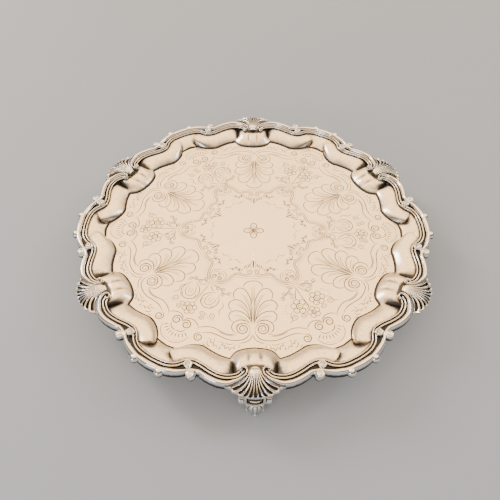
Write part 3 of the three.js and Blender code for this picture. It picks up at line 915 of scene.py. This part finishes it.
def daisy_bouquet():
    """Two daisies and a smaller flower on an arch's axis, with their stems and leaves."""
    strokes = moved(daisy(6, 2.6, 6.6), (-7.6, 84.6)) + moved(daisy(6, 2.5, 6.2), (8.4, 84.6), 20)
    strokes += moved(daisy(5, 1.7, 4.9), (-0.6, 94), 30)
    strokes += cut([(-0.6, 67), (-1.2, 74), (-1.2, 82), (-0.8, 88.6)], 0.2)
    strokes += cuts([[(0.6, 68), (3.4, 73), (6.8, 78.4)], [(-1.4, 69), (-4.6, 74), (-7, 78.2)]], 0.18)
    leaves = [(5.6, 1.7, 4.4, 73.4, 70), (6.2, 1.9, 13.6, 90, 62), (5.4, 1.6, 6.4, 93.6, 100)]
    stem = [(1, 67.6), (6.4, 67.8), (11, 70.6), (16.4, 71)]
    tendril = [(14.8, 86), (18.2, 88.6), (18.6, 92.4), (22, 93.4)]
    strokes += bouquet_sides(stem, 4.4, leaves, tendril)
    for side in (1, -1):
        strokes += dots(through(sided(side, [(16, 79), (18.6, 82), (19, 85.4)]), 1), 2.2, 0.28)
    return strokes + dots(through([(-2.2, 65.4), (0, 64.8), (2.2, 65.4)], 0.5), 2.2, 0.36)


def tulip_bouquet():
    """Two bell flowers over a small daisy on an arch's axis."""
    strokes = moved(tulip(1.0), (-10.6, 80), 14) + moved(tulip(0.95), (7.4, 79.6), -10)
    strokes += moved(daisy(6, 2.5, 5.6), (-2.2, 93), 0)
    strokes += cut([(-1.2, 67), (-1.6, 76), (-2, 87.2)], 0.2)
    strokes += cuts([[(0.4, 67.6), (2.4, 69.4), (5.4, 71)], [(-2.2, 67.6), (-5.4, 69.4), (-8.2, 71)]], 0.19)
    leaves = [(6, 1.8, 14.6, 88.6, 48), (5.2, 1.6, 6.6, 92, 84), (4.6, 1.4, 8.4, 96.6, 110)]
    stem = [(1.4, 66.6), (7.6, 65.8), (12.4, 68.4), (18.4, 68.2)]
    tendril = [(16.8, 76), (19.6, 79.6), (18.8, 84), (21.6, 87.4)]
    strokes += bouquet_sides(stem, 4.2, leaves, tendril)
    for side in (1, -1):
        strokes += dots(through(sided(side, [(12, 91.6), (16, 94), (20, 93.6)]), 1), 3, 0.3)
    return strokes + dots(through([(-5, 65.6), (-1, 64.6), (3, 65.6)], 0.5), 2.6, 0.36)


def rosette():
    """A plain quatrefoil at the very middle."""
    strokes = circle((0, 0), 1.5, 0.24)
    for i in range(4):
        petal = [(-1, 1.8), (-2.6, 5), (-1.6, 7.8), (0, 8.6), (1.6, 7.8), (2.6, 5), (1, 1.8)]
        strokes += turned(cut(petal, 0.26) + dash((0, 3), (0, 6.2), 0.17), i * 90)
        strokes += turned(leaf(5.2, 1.1), 45 + i * 90)
    return strokes


def engraving():
    """Every stroke on the flat, in the plane seen from above with a shell's axis along +out."""
    strokes = rosette()
    for k in range(SECTORS):
        turn = k * SECTOR_ANGLE
        bouquet = daisy_bouquet() if k % 2 else tulip_bouquet()
        strokes += turned(palmette() + band_spray() + centre_ring() + centre_fan(), turn)
        strokes += turned(arch_motif() + heart() + bouquet, turn - HALF_SECTOR)
    return turned(strokes, ENGRAVING_TURN)


def stroke_outline(line, half):
    """A cut's two edges and its half widths, which shrink towards both ends."""
    along = np.gradient(line, axis=0)
    along /= np.linalg.norm(along, axis=1)[:, None]
    side = np.stack([-along[:, 1], along[:, 0]], -1)
    share = np.linspace(0, 1, len(line))
    width = half * np.minimum(1, 0.35 + 4 * np.minimum(share, 1 - share))
    return line + side * width[:, None], line - side * width[:, None], width


def cut_net(boundary, strokes):
    """The flat's outline and every cut as points and edges, and close steps along them with half widths."""
    points = [tuple(p) for p in boundary]
    edges = [(i, (i + 1) % len(boundary)) for i in range(len(boundary))]
    steps, widths = [], []
    for line, half in strokes:
        if np.linalg.norm(line, axis=1).max() > ENGRAVED_RADIUS:
            continue
        left, right, width = stroke_outline(line, half * LINE_WEIGHT)
        count = len(line)
        first = len(points)
        for row in (left, line, right):
            start = len(points)
            points += [tuple(p) for p in row]
            edges += [(start + i, start + i + 1) for i in range(count - 1)]
        for end in (first, first + count - 1):
            edges += [(end, end + count), (end + count, end + 2 * count)]
        dense = evenly(line, 0.12)
        steps += list(dense)
        widths += list(np.interp(np.linspace(0, 1, len(dense)), np.linspace(0, 1, count), width))
    return points, edges, steps, widths


def flat_mesh(boundary, strokes):
    """The flat centre, triangulated round the engraver's cuts.

    Gives points with heights, triangles, a mark on the triangles that lie in a cut, and the numbers
    of the points that stand on the boundary.
    """
    points, edges, steps, widths = cut_net(boundary, strokes)
    made = delaunay_2d_cdt([Vector(p) for p in points], edges, [], 1, 1e-5)
    flat, triangles, origin = made[0], made[2], made[3]
    tree = KDTree(len(steps))
    for i, p in enumerate(steps):
        tree.insert((p[0], p[1], 0), i)
    tree.balance()

    def depth_share(p):
        _, which, gap = tree.find((p[0], p[1], 0))
        return max(0, 1 - gap / widths[which])

    out = np.array([(p[0], p[1], -CUT_DEPTH * depth_share(p)) for p in flat])
    marks = [int(depth_share((flat[a] + flat[b] + flat[c]) / 3) > 0) for a, b, c in triangles]
    place_of = {}
    for i, sources in enumerate(origin):
        for source in sources:
            place_of[source] = i
    return out, triangles, marks, [place_of[i] for i in range(len(boundary))]


def plate_skin():
    """The plate: its engraved flat, then ring by ring the rim, the ledge and the underside."""
    columns, rings, oxide = rim_rings()
    count = len(columns) * SECTORS
    skin = Skin()
    top = [np.array(r, float) for r in rings]
    edge = [(*polar(a + k * SECTOR_ANGLE, radius_on(BORDER_LINE, a) + LEDGE_WIDTH), LEDGE_RISE)
            for k in range(SECTORS) for a in columns]
    top.append(np.array(edge))
    # the ledge's edge, under the castings, is given painted shade
    oxide.append(np.full(count, 0.6))
    lower = [top[i] - (0, 0, SHEET) for i in UNDERSIDE_RINGS]
    flat, triangles, marks, border = flat_mesh(top[0][:, :2], engraving())
    skin.add(placed(flat), triangles, 0.0, marks, smooth=False)
    points = np.concatenate(top[1:] + lower)
    index = np.vstack([np.array(border) - len(flat), np.arange(len(points)).reshape(-1, count)])
    faces = quads(around(index)) + [index[-1, ::-1].tolist()]
    in_groove = 2 * count
    finish = np.repeat([1, 0], [in_groove, len(faces) - in_groove])
    dark = np.concatenate([*oxide[1:], np.full(count * len(lower), 0.15)])
    skin.add(placed(points), faces, dark, finish)
    return skin


# ---------------------------------------------------------------- materials
def node(tree, kind, inputs, **settings):
    """A shader node with its settings, and with its inputs' values or incoming links."""
    made = tree.nodes.new("ShaderNode" + kind)
    for key, value in settings.items():
        setattr(made, key, value)
    for key, value in inputs.items():
        if isinstance(value, bpy.types.NodeSocket):
            tree.links.new(value, made.inputs[key])
        else:
            made.inputs[key].default_value = value
    return made


def noise(tree, where, scale, detail):
    return node(tree, "TexNoise", {"Vector": where, "Scale": scale, "Detail": detail}).outputs["Fac"]


def ramp(tree, share, stops):
    """A colour ramp through stops of (position, colour)."""
    made = node(tree, "ValToRGB", {"Fac": share})
    elements = made.color_ramp.elements
    while len(elements) < len(stops):
        elements.new(0.5)
    for element, (position, colour) in zip(elements, stops):
        element.position = position
        element.color = (*colour, 1)
    return made.outputs["Color"]


def empty_tree(owner):
    owner.use_nodes = True
    owner.node_tree.nodes.clear()
    return owner.node_tree


def place_in_object(tree):
    return node(tree, "TexCoord", {}).outputs["Object"]


def finish_material(tree, inputs):
    shader = node(tree, "BsdfPrincipled", inputs)
    node(tree, "OutputMaterial", {"Surface": shader.outputs[0]})


# the near black of both the oxide and the painted shade
OXIDE_AND_SHADE_COLOUR = (0.018, 0.018, 0.019, 1)
CLOUDED_SHARES = (0.9, 0.885, 0.85)  # what is left of the tint where the polish is cloudy


def silver(name, tint, roughness, oxide_pull):
    """Polished silver with soft waviness, fine scratches, and dark oxide and painted shade where the
    per-vertex darkening layer says.
    """
    material = bpy.data.materials.new(name)
    tree = empty_tree(material)
    where = place_in_object(tree)
    layer = node(tree, "Attribute", {}, attribute_name="oxide").outputs["Fac"]
    spread = node(tree, "Math", {0: noise(tree, where, 420, 4), 1: 0.6, 2: -0.3}, operation="MULTIPLY_ADD")
    total = node(tree, "Math", {0: layer, 1: spread.outputs[0]}, operation="ADD").outputs[0]
    share = node(tree, "MapRange", {"Value": total, "From Min": 0.25, "From Max": 0.85,
                                    "To Max": oxide_pull}).outputs["Result"]

    cloud = noise(tree, where, 26, 5)
    clouded = [t * c for t, c in zip(tint, CLOUDED_SHARES)]
    tone = node(tree, "Mix", {"Factor": cloud, "A": (*tint, 1), "B": (*clouded, 1)}, data_type="RGBA")
    colour = node(tree, "Mix", {"Factor": share, "A": tone.outputs["Result"], "B": OXIDE_AND_SHADE_COLOUR},
                  data_type="RGBA")

    shine = node(tree, "MapRange", {"Value": cloud, "To Min": roughness * 0.85, "To Max": roughness * 1.2})
    dull = node(tree, "Math", {0: share, 1: 0.3, 2: shine.outputs["Result"]}, operation="MULTIPLY_ADD")

    soft = node(tree, "Bump", {"Height": noise(tree, where, 14, 1), "Strength": 0.35, "Distance": 0.0004})
    stretch = node(tree, "Mapping", {"Vector": where, "Scale": (260, 3200, 900), "Rotation": (0, 0, 0.6)})
    hair = noise(tree, stretch.outputs["Vector"], 1, 3)
    fine = node(tree, "Bump", {"Height": hair, "Strength": 0.12, "Distance": 0.00004,
                               "Normal": soft.outputs["Normal"]})
    finish_material(tree, {"Base Color": colour.outputs["Result"], "Roughness": dull.outputs[0],
                           "Metallic": 1.0, "Normal": fine.outputs["Normal"]})
    return material


def dark_cut(name):
    """The oxide that polishing leaves in a cut or a crease."""
    material = bpy.data.materials.new(name)
    tree = empty_tree(material)
    where = place_in_object(tree)
    colour = ramp(tree, noise(tree, where, 300, 3), [(0.3, (0.04, 0.028, 0.02)), (0.75, (0.12, 0.085, 0.06))])
    finish_material(tree, {"Base Color": colour, "Roughness": 0.6, "Specular IOR Level": 0.2})
    return material


def floor_material():
    material = bpy.data.materials.new("pale_floor")
    tree = empty_tree(material)
    speckle = node(tree, "TexNoise", {"Scale": 3}).outputs["Fac"]
    colour = ramp(tree, speckle, [(0, (0.56, 0.545, 0.53)), (1, (0.62, 0.605, 0.59))])
    finish_material(tree, {"Base Color": colour, "Roughness": 0.6})
    return material


# ---------------------------------------------------------------- the salver
def place(name, mesh, finishes, cad_node, turn=0.0):
    """One visible piece: on the root body, in place of its CAD node."""
    for finish in finishes[len(mesh.materials):]:
        mesh.materials.append(finish)
    piece = add_object(name, mesh)
    piece.rotation_euler.z = math.radians(turn)
    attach(piece, "root")
    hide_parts(cad_node)


# the plate's warm tint and the castings' cooler, more neutral tint are painted reflections: of a warm wall on
# the plate, of a window on the castings
plate_silver = silver("plate_silver", (0.95, 0.86, 0.74), 0.24, 0.92)
cast_silver = silver("cast_silver", (0.92, 0.905, 0.89), 0.13, 0.98)
plate_finishes = [plate_silver, dark_cut("cut_silver")]


def place_casting(kind, mesh, cad_kind, number, turn):
    place(f"{kind}_{number}", mesh, [cast_silver], f"{cad_kind}_{number}", turn)


place("salver_plate", plate_skin().mesh("salver_plate"), plate_finishes, "plate")
shell_mesh = shell_skin().mesh("cast_shell")
scroll = scroll_skin()
right_mesh = scroll.mesh("scroll_right")
left_mesh = scroll.mesh("scroll_left", flip=True)
arch_mesh = arch_skin().mesh("cast_arch")
for k in range(SECTORS):
    turn = k * SECTOR_ANGLE
    place_casting("border_shell", shell_mesh, "shell", k + 1, turn)
    place_casting("border_scroll_right", right_mesh, "scroll_right", k + 1, turn)
    place_casting("border_scroll_left", left_mesh, "scroll_left", k + 1, turn)
    place_casting("border_arch", arch_mesh, "arch", k + 1, turn + HALF_SECTOR)
foot = foot_mesh()
for k in range(FEET):
    place_casting("claw_foot", foot, "foot", k + 1, k * 360 / FEET)


# ---------------------------------------------------------------- floor, light, camera
def add_floor(reach=6.0):
    corners = [(-reach, -reach, 0), (reach, -reach, 0), (reach, reach, 0), (-reach, reach, 0)]
    mesh = bpy.data.meshes.new("floor")
    mesh.from_pydata(corners, [], [[0, 1, 2, 3]])
    mesh.materials.append(floor_material())
    add_object("floor", mesh)


def add_light(name, location, size, power, colour):
    data = bpy.data.lights.new(name, "AREA")
    data.shape = "RECTANGLE"
    data.size, data.size_y = size
    data.energy = power
    data.color = colour
    lamp = add_object(name, data)
    lamp.location = location
    lamp.rotation_euler = (-Vector(location)).to_track_quat("-Z", "Y").to_euler()


ROOM_TONES = [  # brightness and warmth of the room, from its front low corner to its back high one
    (0.20, (0.50, 0.53, 0.60)),
    (0.40, (1.10, 1.12, 1.18)),
    (0.46, (0.55, 0.54, 0.54)),
    (0.53, (0.06, 0.050, 0.042)),
    (0.62, (0.16, 0.125, 0.095)),
    (0.72, (0.52, 0.40, 0.28)),
    (0.81, (1.5, 1.12, 0.74)),
    (0.90, (3.2, 2.25, 1.30)),
    (1.00, (4.1, 2.75, 1.45)),
]
ROOM_HEADING = (-0.025, 0.25, 0.43)
SOFT_LIGHT = (0.78, 0.77, 0.76, 1)


def add_world():
    """A soft studio: even light on the floor, and a warm pale wall behind for the silver to mirror."""
    room = bpy.data.worlds.new("room")
    tree = empty_tree(room)
    where = node(tree, "TexCoord", {}).outputs["Generated"]
    toward = node(tree, "VectorMath", {0: where, 1: ROOM_HEADING}, operation="DOT_PRODUCT").outputs["Value"]
    lift = node(tree, "Math", {0: toward, 1: 0.5}, operation="ADD").outputs[0]
    wall = node(tree, "Background", {"Color": ramp(tree, lift, ROOM_TONES)}).outputs[0]
    soft = node(tree, "Background", {"Color": SOFT_LIGHT}).outputs[0]
    mirrored_ray = node(tree, "LightPath", {}).outputs["Is Glossy Ray"]
    choose = node(tree, "MixShader", {"Fac": mirrored_ray, 1: soft, 2: wall})
    node(tree, "OutputWorld", {"Surface": choose.outputs[0]})
    bpy.context.scene.world = room


CAMERA_LENS = 34.37  # millimetres, on a sensor 36 mm wide
CAMERA_DISTANCE = 0.4004
CAMERA_ELEVATION = math.radians(50.65)
CAMERA_AIM = Vector((-0.0030, -0.0219, PLATE_TOP * MM))
CAMERA_ROLL = math.radians(0.595)
VIEW_TURN = math.radians(-0.6)


def add_camera():
    data = bpy.data.cameras.new("camera")
    data.lens = CAMERA_LENS
    data.sensor_width = 36
    camera = add_object("camera", data)
    back = Vector((0, -math.cos(CAMERA_ELEVATION), math.sin(CAMERA_ELEVATION)))
    camera.rotation_mode = "QUATERNION"
    turn = Matrix.Rotation(VIEW_TURN, 4, "Z")
    camera.location = turn @ (CAMERA_AIM + back * CAMERA_DISTANCE)
    look = (-back).to_track_quat("-Z", "Y").to_matrix().to_4x4()
    roll = Matrix.Rotation(CAMERA_ROLL, 4, "Z")
    camera.rotation_quaternion = (turn @ look @ roll).to_quaternion()
    bpy.context.scene.camera = camera


add_floor()
add_world()
add_light("window", (-1.3, 0.9, 1.1), (0.4, 0.7), 14, (1.0, 0.98, 0.96))
add_light("fill", (1.3, 0.5, 1.1), (0.3, 0.5), 4, (0.92, 0.96, 1.0))
add_light("low_window", (-0.9, -1.1, 0.55), (0.5, 0.3), 5, (0.72, 0.84, 1.0))
add_camera()
